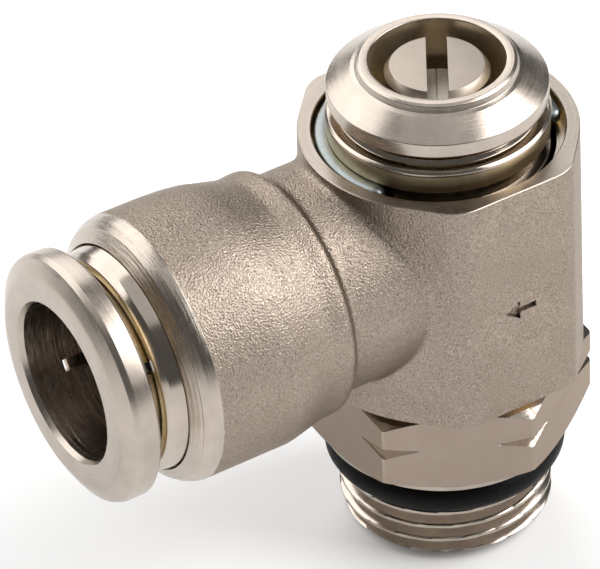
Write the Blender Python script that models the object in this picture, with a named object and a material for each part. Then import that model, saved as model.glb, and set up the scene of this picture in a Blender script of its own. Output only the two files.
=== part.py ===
"""Push-in flow-control elbow: a swivelling banjo body on a hollow, threaded banjo stem.

Frame: metres, +Z up along the stem. The origin is on the stem's axis, in the plane of the
hexagon's lower face, which seats on the port. The tube leaves towards -X.
Outlines below are in millimetres, as (radius, place along the axis), and become metres when built.
"""

import math

import bmesh
import bpy
from mathutils import Matrix, Vector

MM = 0.001
GAP = 0.3  # clearance between touching pieces

# Stem, G3/8 thread (19 threads per inch), heights above the port face
THREAD_CREST = 8.33
THREAD_ROOT = 7.47
THREAD_PITCH = 25.4 / 19
THREAD_TOP = -3.0
THREAD_END = -7.6
PORT_BORE = 4.6
HEX_FLATS = 20.0
HEX_CORNER = 11.4
HEX_TOP = 7.3
HEX_TURN = math.radians(3.0)
SEAT_INNER = 9.4  # inner edge of the seating face; the port seal lies inside it
SEAT_RELIEF = 0.3
SHANK = 8.42
WAIST = 5.4
WAIST_TOP = 21.4
CAVITY = 6.3
CAVITY_FLOOR = 22.3
STEM_TOP = 29.9
RING_GROOVE = 7.75
RING_GROOVE_LOW = 26.2
RING_GROOVE_HIGH = 27.63
SEAL_GROOVE = 7.0
LOWER_SEAL = 8.75
UPPER_SEAL = 24.9
STEM_SEAL_RADIUS = 7.95
STEM_SEAL_THICK = 0.6
SEAL_GROOVE_HALF = STEM_SEAL_THICK + GAP
NEEDLE_SEAT = 2.4
UPPER_PORTS = 19.0
LOWER_PORTS = 10.95

# Body
AXIS_HEIGHT = 18.2
BODY_LOW = 7.6
BODY_HIGH = 27.73
BODY_RADIUS = 10.62
BODY_DRAFT = 1.022  # lower outline over upper outline
FLAT_REACH = 10.45
FLAT_HALF = 4.9
BODY_BORE = 8.85
RECESS_RADIUS = 9.55
RECESS_FLOOR = 26.2
NECK_RADIUS = 8.8
BARREL_RADIUS = 10.56
MOUTH = -27.9
CARTRIDGE_BORE = 8.9
CARTRIDGE_END = -19.8
TUBE_BORE = 6.3
TUBE_STOP = -15.0
PASSAGE = 3.6

# Push-in cartridge, places along the tube's axis
COLLET_FACE = -33.37
COLLET_BORE = 6.25
COLLET_SLEEVE = 7.3
COLLET_LIP = 7.9
COLLET_END = -26.0
FLANGE_BACK = -30.64
SLOT_START = -30.3
SLOT_WIDE = 0.9
SLOT_TURN = math.radians(58.5)
CAP_FRONT = -29.4
CAP_END = -24.5
TUBE_SEAL_AT = -21.4
TUBE_SEAL_RADIUS = 7.2
TUBE_SEAL_THICK = 1.3

# Adjusting screw, fully open
SCREW_TOP = 33.3
SCREW_HEAD = 4.0
SCREW_SLOT_WIDE = 1.6
SCREW_SLOT_FLOOR = 29.7
SCREW_SLOT_TURN = math.radians(57.5)
COLLAR = 5.9
COLLAR_TOP = 27.5
COLLAR_LOW = 25.1
NEEDLE_SEAL_AT = 26.3

ROUND = 36  # facets round a large piece
SMALL_ROUND = 28
TINY_ROUND = 8

BODY_COLOUR = (0.52, 0.47, 0.42)
BRIGHT_COLOUR = (0.66, 0.62, 0.58)
ZINC_COLOUR = (0.62, 0.68, 0.70)
RUBBER_COLOUR = (0.012, 0.012, 0.013)
STEEL_COLOUR = (0.60, 0.60, 0.60)


def clear_scene():
    for obj in list(bpy.data.objects):
        bpy.data.objects.remove(obj, do_unlink=True)


def make_material(name, colour, metallic, roughness):
    material = bpy.data.materials.new(name)
    material.use_nodes = True
    shader = material.node_tree.nodes["Principled BSDF"]
    shader.inputs["Base Color"].default_value = (*colour, 1.0)
    shader.inputs["Metallic"].default_value = metallic
    shader.inputs["Roughness"].default_value = roughness
    return material


def forged_nickel():
    return make_material("forged_nickel", BODY_COLOUR, 1.0, 0.45)


def bright_nickel():
    return make_material("bright_nickel", BRIGHT_COLOUR, 1.0, 0.22)


def zinc_steel():
    return make_material("zinc_steel", ZINC_COLOUR, 1.0, 0.3)


def plain_steel():
    return make_material("plain_steel", STEEL_COLOUR, 1.0, 0.3)


def black_rubber():
    return make_material("black_rubber", RUBBER_COLOUR, 0.0, 0.5)


def add_object(bm, name, material, location=(0.0, 0.0, 0.0), smooth=True):
    """Makes a node from a mesh whose local origin is at location, in metres."""
    bmesh.ops.recalc_face_normals(bm, faces=bm.faces)
    mesh = bpy.data.meshes.new(name)
    bm.to_mesh(mesh)
    bm.free()
    if material:
        mesh.materials.append(material)
    if smooth:
        mesh.shade_smooth()
        mesh.set_sharp_from_angle(angle=math.radians(35.0))
    obj = bpy.data.objects.new(name, mesh)
    obj.location = location
    bpy.context.scene.collection.objects.link(obj)
    return obj


def turn_outline(outline, steps):
    """Spins a closed outline of (radius, height) points about Z; edges on the axis are left out."""
    bm = bmesh.new()
    points = [bm.verts.new((r * MM, 0.0, h * MM)) for r, h in outline]
    edges = []
    for i, (radius, _) in enumerate(outline):
        following = (i + 1) % len(outline)
        if radius > 0.0 or outline[following][0] > 0.0:
            edges.append(bm.edges.new((points[i], points[following])))
    bmesh.ops.spin(
        bm,
        geom=points + edges,
        cent=(0.0, 0.0, 0.0),
        axis=(0.0, 0.0, 1.0),
        angle=2.0 * math.pi,
        steps=steps,
        use_merge=True,
    )
    bmesh.ops.remove_doubles(bm, verts=bm.verts, dist=1e-6)
    return bm


def lay_along_x(bm):
    """Turns a mesh made about Z so that its heights run along +X."""
    bmesh.ops.transform(bm, matrix=Matrix.Rotation(math.pi / 2.0, 4, "Y"), verts=bm.verts)


def circle_points(centre_radius, centre_height, radius, count):
    """Points round a circular section, for a ring seal."""
    points = []
    for i in range(count):
        angle = 2.0 * math.pi * i / count
        points.append((centre_radius + radius * math.cos(angle), centre_height + radius * math.sin(angle)))
    return points


def make_cutter(bm, name, location=(0.0, 0.0, 0.0)):
    obj = add_object(bm, name, None, location, smooth=False)
    obj.hide_render = True
    obj.display_type = "WIRE"
    return obj


def add_boolean(obj, tool, operation):
    modifier = obj.modifiers.new(tool.name, "BOOLEAN")
    modifier.operation = operation
    modifier.solver = "EXACT"
    modifier.object = tool


def box_mesh(size, centre, turn=0.0):
    """A box of the given size in millimetres, turned about Z."""
    bm = bmesh.new()
    bmesh.ops.create_cube(bm, size=1.0)
    bmesh.ops.scale(bm, vec=Vector(size) * MM, verts=bm.verts)
    bmesh.ops.rotate(bm, matrix=Matrix.Rotation(turn, 3, "Z"), verts=bm.verts)
    bmesh.ops.translate(bm, vec=Vector(centre) * MM, verts=bm.verts)
    return bm


# ---------------------------------------------------------------- stem


def thread_radius(height, angle):
    """Whitworth-like thread: a rounded wave whose crest climbs one pitch each turn."""
    phase = height / THREAD_PITCH - angle / (2.0 * math.pi)
    wave = 0.5 - 0.5 * math.cos(2.0 * math.pi * phase)
    return THREAD_ROOT + (THREAD_CREST - THREAD_ROOT) * min(1.0, 1.25 * wave)


def thread_heights():
    count = 16
    top = THREAD_TOP - 0.35
    low = THREAD_END + 0.7
    return [top + (low - top) * i / count for i in range(count + 1)]


def stem_outer_outline():
    """Outer side of the stem, from its top down to the thread's end."""
    points = [
        (CAVITY, STEM_TOP),
        (8.05, STEM_TOP),
        (8.5, STEM_TOP - 0.4),
        (8.5, STEM_TOP - 0.7),
        (SHANK, STEM_TOP - 0.82),
        (SHANK, RING_GROOVE_HIGH),
        (RING_GROOVE, RING_GROOVE_HIGH),
        (RING_GROOVE, RING_GROOVE_LOW),
        (SHANK, RING_GROOVE_LOW),
    ]
    points += seal_groove_outline(UPPER_SEAL)
    points += [
        (SHANK, WAIST_TOP + 0.4),
        (WAIST, WAIST_TOP),
        (WAIST, 14.6),
        (6.6, 14.6),
        (6.6, 14.1),
        (WAIST, 14.1),
        (WAIST, 12.3),
        (6.4, 12.3),
        (6.4, 11.85),
        (WAIST, 11.85),
        (WAIST, 10.1),
        (SHANK, 10.0),
    ]
    points += seal_groove_outline(LOWER_SEAL)
    points += [
        (SHANK, HEX_TOP),
        (10.15, HEX_TOP),
        (HEX_CORNER, 6.7),
        (HEX_CORNER, 4.9),
        (10.35, 4.4),
        (HEX_CORNER, 3.9),
        (HEX_CORNER, 1.55),
        (9.69, 0.0),
        (SEAT_INNER, 0.0),
        (SEAT_INNER, SEAT_RELIEF),
        (6.55, SEAT_RELIEF),
        (6.55, THREAD_TOP + 0.1),
        (THREAD_ROOT, THREAD_TOP),
    ]
    points += [(THREAD_CREST, height) for height in thread_heights()]
    points += [(8.1, THREAD_END + 0.4), (7.5, THREAD_END)]
    return points


def seal_groove_outline(centre):
    return [
        (SHANK, centre + SEAL_GROOVE_HALF),
        (SEAL_GROOVE, centre + SEAL_GROOVE_HALF),
        (SEAL_GROOVE, centre - SEAL_GROOVE_HALF),
        (SHANK, centre - SEAL_GROOVE_HALF),
    ]


def stem_inner_outline():
    """Bore of the stem, from the port up past the needle's seat to the screw's cavity."""
    return [
        (PORT_BORE, THREAD_END),
        (PORT_BORE, 9.0),
        (3.6, 10.0),
        (3.6, 15.2),
        (NEEDLE_SEAT, 16.0),
        (NEEDLE_SEAT, 16.6),
        (3.3, 17.4),
        (3.3, CAVITY_FLOOR),
        (CAVITY, CAVITY_FLOOR),
    ]


def cut_thread(bm):
    """Moves the crest rows of the turned stem onto the helical thread form."""
    heights = thread_heights()
    for vert in bm.verts:
        height = vert.co.z / MM
        radius = math.hypot(vert.co.x, vert.co.y) / MM
        if radius < THREAD_ROOT or height > heights[0] + 0.01 or height < heights[-1] - 0.01:
            continue
        angle = math.atan2(vert.co.y, vert.co.x)
        wanted = thread_radius(height, angle)
        vert.co.x *= wanted / radius
        vert.co.y *= wanted / radius


def hexagon_cutter():
    """A ring with a hexagonal hole, which leaves the spanner flats."""
    bm = bmesh.new()
    across = HEX_FLATS / math.sqrt(3.0)
    low = -0.2
    high = HEX_TOP + 0.15
    rows = []
    for height in (low, high):
        inner = []
        outer = []
        for i in range(6):
            angle = HEX_TURN + math.radians(60.0 * i + 30.0)
            inner.append(bm.verts.new((across * MM * math.cos(angle), across * MM * math.sin(angle), height * MM)))
            outer.append(bm.verts.new((14.0 * MM * math.cos(angle), 14.0 * MM * math.sin(angle), height * MM)))
        rows.append((inner, outer))
    (inner_low, outer_low), (inner_high, outer_high) = rows
    for i in range(6):
        j = (i + 1) % 6
        bm.faces.new((outer_low[i], outer_low[j], outer_high[j], outer_high[i]))
        bm.faces.new((inner_low[j], inner_low[i], inner_high[i], inner_high[j]))
        bm.faces.new((inner_low[i], inner_low[j], outer_low[j], outer_low[i]))
        bm.faces.new((inner_high[j], inner_high[i], outer_high[i], outer_high[j]))
    return make_cutter(bm, "cut_hexagon")


def port_cutter(name, height, radius, axis):
    """A drilled hole right across the stem's waist."""
    bm = bmesh.new()
    bmesh.ops.create_cone(
        bm,
        cap_ends=True,
        segments=TINY_ROUND,
        radius1=radius * MM,
        radius2=radius * MM,
        depth=16.0 * MM,
        matrix=Matrix.Rotation(math.pi / 2.0, 4, axis),
    )
    return make_cutter(bm, name, (0.0, 0.0, height * MM))


def make_threaded_stem():
    bm = turn_outline(stem_outer_outline() + stem_inner_outline(), ROUND)
    cut_thread(bm)
    stem = add_object(bm, "threaded_stem", bright_nickel())
    add_boolean(stem, hexagon_cutter(), "DIFFERENCE")
    for axis in ("X", "Y"):
        add_boolean(stem, port_cutter("cut_upper_port_" + axis, UPPER_PORTS, 1.1, axis), "DIFFERENCE")
        add_boolean(stem, port_cutter("cut_lower_port_" + axis, LOWER_PORTS, 0.7, axis), "DIFFERENCE")


def make_ring_seal(name, centre_radius, centre_height, thick):
    bm = turn_outline(circle_points(centre_radius, centre_height, thick, 8), SMALL_ROUND)
    add_object(bm, name, black_rubber())


def make_stem_seals():
    make_ring_seal("port_oring", 8.1, -1.5, 1.2)
    make_ring_seal("lower_stem_oring", STEM_SEAL_RADIUS, LOWER_SEAL, STEM_SEAL_THICK)
    make_ring_seal("upper_stem_oring", STEM_SEAL_RADIUS, UPPER_SEAL, STEM_SEAL_THICK)


def make_check_seal():
    """One-way lip seal: its lip points down and out, so air passes only downwards."""
    outline = [
        (5.7, 13.8),
        (7.2, 13.8),
        (8.55, 12.75),
        (8.4, 12.6),
        (7.2, 13.2),
        (6.3, 13.2),
        (6.3, 12.6),
        (5.7, 12.6),
    ]
    add_object(turn_outline(outline, SMALL_ROUND), "check_seal", black_rubber())


def make_circlip():
    """Open snap ring of rounded wire in the stem's groove; its gap faces the front."""
    start = math.radians(-25.0)
    end = math.radians(203.0)
    section = [
        (8.05, 26.7),
        (8.3, 26.45),
        (9.1, 26.45),
        (9.38, 26.75),
        (9.38, 27.35),
        (9.1, 27.63),
        (8.65, 27.63),
        (8.05, 27.3),
    ]
    steps = 24
    bm = bmesh.new()
    rows = []
    for i in range(steps + 1):
        angle = start + (end - start) * i / steps
        across = (math.cos(angle), math.sin(angle))
        rows.append([bm.verts.new((r * MM * across[0], r * MM * across[1], h * MM)) for r, h in section])
    count = len(section)
    for here, there in zip(rows, rows[1:]):
        for i in range(count):
            j = (i + 1) % count
            bm.faces.new((here[i], here[j], there[j], there[i]))
    bm.faces.new(rows[0])
    bm.faces.new(list(reversed(rows[-1])))
    add_object(bm, "circlip", zinc_steel())


def make_cap_bush():
    """Coned head pressed into the stem's top; it holds the adjusting screw captive."""
    outline = [
        (5.14, 33.82),
        (5.75, 33.82),
        (5.97, 33.7),
        (6.1, 33.35),
        (6.45, 33.12),
        (8.34, 31.89),
        (8.34, 30.87),
        (8.2, 30.65),
        (7.4, 30.6),
        (7.4, STEM_TOP + GAP),
        (CAVITY - GAP, STEM_TOP + GAP),
        (CAVITY - GAP, COLLAR_TOP + GAP),
        (SCREW_HEAD + 0.35, COLLAR_TOP + GAP),
        (SCREW_HEAD + 0.35, 31.1),
        (5.14, 31.1),
    ]
    add_object(turn_outline(outline, ROUND), "cap_bush", bright_nickel())


def make_adjusting_screw():
    """Slotted head, collar with a seal groove, threaded shank and needle in one turned piece."""
    outline = [
        (0.0, SCREW_TOP),
        (3.56, SCREW_TOP),
        (SCREW_HEAD, SCREW_TOP - 0.55),
        (SCREW_HEAD, COLLAR_TOP),
        (COLLAR, COLLAR_TOP),
        (COLLAR, COLLAR_TOP - 0.4),
        (4.6, COLLAR_TOP - 0.4),
        (4.6, COLLAR_LOW + 0.4),
        (COLLAR, COLLAR_LOW + 0.4),
        (COLLAR, COLLAR_LOW),
        (3.0, COLLAR_LOW),
        (3.0, 20.1),
        (2.3, 19.4),
        (0.9, 16.9),
        (0.0, 16.9),
    ]
    screw = add_object(turn_outline(outline, SMALL_ROUND), "adjusting_screw", bright_nickel())
    size = (12.0, SCREW_SLOT_WIDE, 5.0)
    slot = box_mesh(size, (0.0, 0.0, SCREW_SLOT_FLOOR + 2.5), SCREW_SLOT_TURN)
    add_boolean(screw, make_cutter(slot, "cut_screw_slot"), "DIFFERENCE")
    make_ring_seal("needle_oring", 5.45, NEEDLE_SEAL_AT, 0.5)


# ---------------------------------------------------------------- body


def body_plan():
    """Plan outline of the body: a circle joined by tangents to two flat sides."""
    corner = math.atan2(FLAT_REACH, FLAT_HALF)
    tangent = corner - math.acos(BODY_RADIUS / math.hypot(FLAT_HALF, FLAT_REACH))
    arc_steps = 10
    arc = []
    for i in range(arc_steps + 1):
        angle = -tangent + 2.0 * tangent * i / arc_steps
        arc.append((BODY_RADIUS * math.cos(angle), BODY_RADIUS * math.sin(angle)))
    near_end = [(FLAT_HALF, FLAT_REACH), (-FLAT_HALF, FLAT_REACH)]
    far_arc = [(-x, -y) for x, y in arc]
    far_end = [(-x, -y) for x, y in near_end]
    return arc + near_end + far_arc + far_end


def body_core_mesh():
    bm = bmesh.new()
    plan = body_plan()
    low = [bm.verts.new((x * BODY_DRAFT * MM, y * BODY_DRAFT * MM, BODY_LOW * MM)) for x, y in plan]
    high = [bm.verts.new((x * MM, y * MM, BODY_HIGH * MM)) for x, y in plan]
    bm.faces.new(low)
    bm.faces.new(high)
    corners = []
    for i in range(len(plan)):
        j = (i + 1) % len(plan)
        bm.faces.new((low[i], low[j], high[j], high[i]))
        if abs(plan[i][1]) == FLAT_REACH:
            corners.append(bm.edges.get((low[i], high[i])))
    bmesh.ops.bevel(bm, geom=corners, offset=1.3 * MM, segments=3, profile=0.5, affect="EDGES")
    return bm


def neck_mesh():
    bm = turn_outline([(0.0, -5.0), (NECK_RADIUS, -5.0), (NECK_RADIUS, -16.5), (0.0, -16.5)], ROUND)
    lay_along_x(bm)
    return bm


def barrel_mesh():
    outline = [
        (0.0, -13.7),
        (9.05, -13.7),
        (9.6, -13.9),
        (9.9, -14.3),
        (9.95, -15.8),
        (10.3, -17.3),
        (BARREL_RADIUS, -18.9),
        (BARREL_RADIUS, -25.2),
        (10.48, -26.1),
        (10.25, -26.8),
        (9.9, -27.3),
        (9.15, MOUTH),
        (0.0, MOUTH),
    ]
    bm = turn_outline(outline, ROUND)
    lay_along_x(bm)
    return bm


def stem_bore_mesh():
    outline = [
        (0.0, BODY_HIGH + 1.0),
        (RECESS_RADIUS, BODY_HIGH + 1.0),
        (RECESS_RADIUS, RECESS_FLOOR),
        (BODY_BORE, RECESS_FLOOR),
        (BODY_BORE, BODY_LOW - 1.0),
        (0.0, BODY_LOW - 1.0),
    ]
    return turn_outline(outline, ROUND)


def tube_bore_mesh():
    outline = [
        (0.0, -2.0),
        (PASSAGE, -2.0),
        (PASSAGE, TUBE_STOP),
        (TUBE_BORE, TUBE_STOP),
        (TUBE_BORE, CARTRIDGE_END),
        (CARTRIDGE_BORE, CARTRIDGE_END),
        (CARTRIDGE_BORE, MOUTH - 1.0),
        (0.0, MOUTH - 1.0),
    ]
    bm = turn_outline(outline, ROUND)
    lay_along_x(bm)
    return bm


def make_banjo_body():
    axis_place = (0.0, 0.0, AXIS_HEIGHT * MM)
    body = add_object(body_core_mesh(), "banjo_body", forged_nickel())
    add_boolean(body, make_cutter(neck_mesh(), "join_neck", axis_place), "UNION")
    add_boolean(body, make_cutter(barrel_mesh(), "join_barrel", axis_place), "UNION")
    add_boolean(body, make_cutter(stem_bore_mesh(), "cut_stem_bore"), "DIFFERENCE")
    add_boolean(body, make_cutter(tube_bore_mesh(), "cut_tube_bore", axis_place), "DIFFERENCE")


# ---------------------------------------------------------------- push-in cartridge


def add_tube_piece(name, outline, material, steps):
    bm = turn_outline(outline, steps)
    lay_along_x(bm)
    return add_object(bm, name, material, (0.0, 0.0, AXIS_HEIGHT * MM))


def slot_cutter(index):
    """A flat bar across the tube's axis, which cuts two opposite slots in the collet."""
    length = COLLET_END + 1.0 - SLOT_START
    bm = box_mesh((length, 20.0, SLOT_WIDE), (SLOT_START + length / 2.0, 0.0, 0.0))
    turn = SLOT_TURN + index * math.pi / 2.0
    bmesh.ops.rotate(bm, matrix=Matrix.Rotation(turn, 3, "X"), verts=bm.verts)
    return make_cutter(bm, "cut_collet_slot_%d" % index, (0.0, 0.0, AXIS_HEIGHT * MM))


def make_release_collet():
    """Flanged sleeve, slit from behind into four sprung jaws with a tooth and a wedge at the end."""
    outline = [
        (6.5, COLLET_FACE),
        (8.7, COLLET_FACE),
        (9.5, COLLET_FACE + 0.45),
        (9.8, COLLET_FACE + 1.1),
        (9.8, FLANGE_BACK - 0.3),
        (9.55, FLANGE_BACK),
        (COLLET_SLEEVE, FLANGE_BACK),
        (COLLET_SLEEVE, -28.0),
        (COLLET_LIP, -28.0),
        (COLLET_LIP, -27.2),
        (7.0, COLLET_END),
        (6.45, COLLET_END),
        (5.95, -26.4),
        (COLLET_BORE, -26.9),
        (COLLET_BORE, COLLET_FACE + 0.4),
    ]
    collet = add_tube_piece("release_collet", outline, bright_nickel(), ROUND)
    for index in range(2):
        add_boolean(collet, slot_cutter(index), "DIFFERENCE")


def make_collet_cap_ring():
    """Retaining ring pressed into the mouth; its inner lip keeps the collet's jaws in."""
    outline = [
        (7.6, CAP_FRONT),
        (8.25, CAP_FRONT),
        (8.5, CAP_FRONT + 0.35),
        (8.7, CAP_FRONT + 0.9),
        (8.83, -27.88),
        (8.83, -27.6),
        (8.6, -27.4),
        (8.6, CAP_END),
        (8.2, CAP_END),
        (8.2, -27.9),
        (7.6, -28.3),
    ]
    add_tube_piece("collet_cap_ring", outline, bright_nickel(), ROUND)


def make_tube_seal():
    outline = circle_points(TUBE_SEAL_RADIUS, TUBE_SEAL_AT, TUBE_SEAL_THICK, 8)
    add_tube_piece("tube_seal", outline, black_rubber(), SMALL_ROUND)


def make_seal_washer():
    """Washer between the jaws and the tube seal."""
    front = CAP_END + GAP
    back = TUBE_SEAL_AT - TUBE_SEAL_THICK - GAP
    outline = [(6.5, front), (8.6, front), (8.6, back), (6.5, back)]
    add_tube_piece("seal_washer", outline, plain_steel(), SMALL_ROUND)


clear_scene()
make_threaded_stem()
make_stem_seals()
make_check_seal()
make_circlip()
make_cap_bush()
make_adjusting_screw()
make_banjo_body()
make_release_collet()
make_collet_cap_ring()
make_tube_seal()
make_seal_washer()
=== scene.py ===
"""Looks of the push-in flow-control elbow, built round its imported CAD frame.

Row frame: metres, +Z up along the stem, the tube leaves towards -X. Outlines are in millimetres, as
(radius, place along the axis, optional corner rounding), from the frame's origin or from datums read
off the frame. Every piece is turned about Z, and those on the tube are then laid along X.
"""

import math

import bmesh
import bpy
import numpy as np
from mathutils import Matrix, Vector


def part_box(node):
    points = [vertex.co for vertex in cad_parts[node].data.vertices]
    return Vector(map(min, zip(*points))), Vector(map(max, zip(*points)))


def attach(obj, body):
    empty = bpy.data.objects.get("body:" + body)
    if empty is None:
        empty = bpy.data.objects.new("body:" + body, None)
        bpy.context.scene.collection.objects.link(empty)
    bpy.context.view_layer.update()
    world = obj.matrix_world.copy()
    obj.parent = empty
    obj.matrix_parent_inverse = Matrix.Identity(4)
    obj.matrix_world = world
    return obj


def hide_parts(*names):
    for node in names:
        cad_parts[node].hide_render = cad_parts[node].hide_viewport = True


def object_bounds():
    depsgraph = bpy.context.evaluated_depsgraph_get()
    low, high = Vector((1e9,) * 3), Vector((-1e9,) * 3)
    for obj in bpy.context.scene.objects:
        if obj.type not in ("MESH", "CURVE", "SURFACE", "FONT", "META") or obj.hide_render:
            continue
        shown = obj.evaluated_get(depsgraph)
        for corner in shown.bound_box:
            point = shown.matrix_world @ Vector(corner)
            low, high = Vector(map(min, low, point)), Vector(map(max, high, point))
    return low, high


MM = 0.001

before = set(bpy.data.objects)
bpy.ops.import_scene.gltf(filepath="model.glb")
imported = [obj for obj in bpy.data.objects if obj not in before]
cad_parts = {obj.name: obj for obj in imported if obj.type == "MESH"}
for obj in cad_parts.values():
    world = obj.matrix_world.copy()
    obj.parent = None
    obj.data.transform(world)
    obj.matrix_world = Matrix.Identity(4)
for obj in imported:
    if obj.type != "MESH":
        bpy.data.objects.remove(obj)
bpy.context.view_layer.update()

# ---------------------------------------------------------------- datums from the frame, in millimetres

THREAD_LONGER = 0.4  # the photographed thread ends this much lower than the CAD one


def low_mm(node, axis):
    """Lower end of a CAD node's box along an axis (0 X, 1 Y, 2 Z)."""
    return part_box(node)[0][axis] / MM


def high_mm(node, axis):
    """Upper end of a CAD node's box along an axis."""
    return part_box(node)[1][axis] / MM


TUBE_AXIS = (low_mm("release_collet", 2) + high_mm("release_collet", 2)) / 2.0
CAP_TOP = high_mm("cap_bush", 2)
SCREW_TOP = high_mm("adjusting_screw", 2)
STEM_TOP = high_mm("threaded_stem", 2)
THREAD_END = low_mm("threaded_stem", 2) - THREAD_LONGER
BODY_LOW = low_mm("banjo_body", 2)
MOUTH = low_mm("banjo_body", 0)
COLLET_FACE = low_mm("release_collet", 0)
CAP_RING_FACE = low_mm("collet_cap_ring", 0)
CLIP_LOW = low_mm("circlip", 2)
CLIP_TOP = high_mm("circlip", 2)
BODY_TOP = CLIP_TOP + 0.1  # the node's box gives the barrel's top, which is higher than the body's

# ---------------------------------------------------------------- driving dimensions, in millimetres

FINE_ROUND = 224  # facets round a visible turned piece
COARSE_ROUND = 96  # facets round an inner piece
HEX_FLATS = 20.0
HEX_CORNER = 11.47  # radius of the turned form that chamfers the hexagon's corners
HEX_TOP = 7.3
HEX_TURN = math.radians(3.0)
THREAD_CREST = 8.33
THREAD_ROOT = 7.47
THREAD_PITCH = 25.4 / 19
THREAD_TOP = -2.97
THREAD_SHIFT = 0.35  # height of a crest at angle 0, which sets where the thread starts
SHANK = 8.42  # radius of the stem inside the body
STEM_SEAL_RADIUS = 7.95
STEM_SEAL_THICK = 0.6
UPPER_SEAL = 24.9
LOWER_SEAL = 8.75
RECESS_FLOOR = 26.2
RECESS_RADIUS = 9.55  # the snap ring's recess in the body's top
WALL_BELOW = 0.84  # the stem's plain wall starts this far below its top
SLOT_TURN = math.radians(57.5)
SLOT_WIDE = 1.6
SLOT_DEEP = 3.3
JAW_SLOT_TURN = math.radians(58.5)
JAW_SLOT_WIDE = 0.9
JAW_SLOT_START = 3.1  # behind the collet's face
CLIP_START = math.radians(-25.0)
CLIP_END = math.radians(209.0)
CORE_RADIUS = 10.62
CORE_FLAT = 10.45  # place of the flat side, and half its length before the corner's rounding
CORE_FLAT_HALF = 4.9
CORE_CORNER = 3.0
CORE_DRAFT = 0.00113  # growth of the outline per millimetre of depth, as a share of its size
BLANK_MARGIN = 1.5  # the forging is longer than the faced body by this much at each end
RIM_CHAMFER_DEPTH = 0.09
NECK_RADIUS = 8.8
BARREL_RADIUS = 10.58
HOLLOW_DEPTH = 0.6  # hollow on the barrel's upper side
HOLLOW_PLACE = -16.9
HOLLOW_REACH = 2.7
FACING_RADIUS = 12.3  # reach of the cutter that faces the body's top and underside
LIP_LENGTH = 2.2  # turned stretch of the barrel at its mouth
POCKET_RADIUS = 8.9  # bore for the collet's ring, washer and seal
POCKET_END = -19.8
TUBE_BORE_RADIUS = 6.3  # bore for the tube's end
TUBE_STOP = -15.0
VOXEL = 0.2  # of the remesh that makes the forging one skin

# ---------------------------------------------------------------- camera, in millimetres and degrees

CAMERA_PLACE = (-173.284, -266.826, 260.9)
CAMERA_AZIMUTH = -31.05
CAMERA_ELEVATION = 37.93
CAMERA_ROLL = -2.36
CAMERA_LENS = 316.07

# ---------------------------------------------------------------- studio, in metres

SOFTBOX_DISTANCE = 1.5
LIGHT_TARGET = (-0.01, 0.0, 0.015)
FLOOR_GAP = 0.0003


# ---------------------------------------------------------------- mesh helpers


def rounded(outline, steps=5):
    """Replaces each corner of a closed outline that has a rounding by an arc."""
    points = []
    count = len(outline)
    for i, corner in enumerate(outline):
        here = Vector(corner[:2])
        if len(corner) < 3:
            points.append(here)
            continue
        before = (Vector(outline[i - 1][:2]) - here).normalized()
        after = (Vector(outline[(i + 1) % count][:2]) - here).normalized()
        half = before.angle(after) / 2.0
        reach = corner[2] / math.tan(half)
        centre = here + (before + after).normalized() * corner[2] / math.sin(half)
        first = here + before * reach - centre
        turn = first.angle_signed(here + after * reach - centre)
        for step in range(steps + 1):
            points.append(centre + Matrix.Rotation(-turn * step / steps, 2) @ first)
    return [(point.x, point.y) for point in points]


def rotate_outline(outline, steps):
    """Vertices and quads of a closed outline turned about Z."""
    radii = np.array([point[0] for point in outline])
    heights = np.array([point[1] for point in outline])
    angles = np.arange(steps) * 2.0 * math.pi / steps
    rows = len(outline)
    verts = np.empty((steps, rows, 3))
    verts[:, :, 0] = np.cos(angles)[:, None] * radii
    verts[:, :, 1] = np.sin(angles)[:, None] * radii
    verts[:, :, 2] = heights
    faces = []
    for i in range(steps):
        j = (i + 1) % steps
        for k in range(rows):
            m = (k + 1) % rows
            if radii[k] > 0.0 or radii[m] > 0.0:
                faces.append((i * rows + k, j * rows + k, j * rows + m, i * rows + m))
    return verts.reshape(-1, 3), faces


def mesh_object(name, verts, faces, materials=()):
    """A closed mesh from millimetres, with doubles merged and normals facing out."""
    mesh = bpy.data.meshes.new(name)
    mesh.from_pydata((np.asarray(verts) * MM).tolist(), [], faces)
    bm = bmesh.new()
    bm.from_mesh(mesh)
    bmesh.ops.remove_doubles(bm, verts=bm.verts, dist=1e-7)
    bmesh.ops.recalc_face_normals(bm, faces=bm.faces)
    bm.to_mesh(mesh)
    bm.free()
    for material in materials:
        mesh.materials.append(material)
    obj = bpy.data.objects.new(name, mesh)
    bpy.context.scene.collection.objects.link(obj)
    return obj


def turned(name, outline, materials=(), steps=FINE_ROUND):
    """A piece turned about Z from its outline."""
    verts, faces = rotate_outline(rounded(outline), steps)
    return mesh_object(name, verts, faces, materials)


def prism(name, first_loop, second_loop):
    """A solid between two plane loops with equally many points."""
    count = len(first_loop)
    faces = [tuple(range(count)), tuple(range(count, 2 * count))]
    for i in range(count):
        j = (i + 1) % count
        faces.append((i, j, count + j, count + i))
    return mesh_object(name, first_loop + second_loop, faces)


def box(name, size, centre, turn):
    """A block turned about Z, for cutting with."""
    bm = bmesh.new()
    bmesh.ops.create_cube(bm, size=1.0)
    bmesh.ops.scale(bm, vec=Vector(size) * MM, verts=bm.verts)
    bmesh.ops.translate(bm, vec=Vector(centre) * MM, verts=bm.verts)
    bmesh.ops.rotate(bm, matrix=Matrix.Rotation(turn, 3, "Z"), verts=bm.verts)
    mesh = bpy.data.meshes.new(name)
    bm.to_mesh(mesh)
    bm.free()
    obj = bpy.data.objects.new(name, mesh)
    bpy.context.scene.collection.objects.link(obj)
    return obj


def keep_result(obj):
    """Bakes the object's modifiers into its mesh."""
    graph = bpy.context.evaluated_depsgraph_get()
    mesh = bpy.data.meshes.new_from_object(obj.evaluated_get(graph))
    obj.modifiers.clear()
    obj.data = mesh


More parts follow.
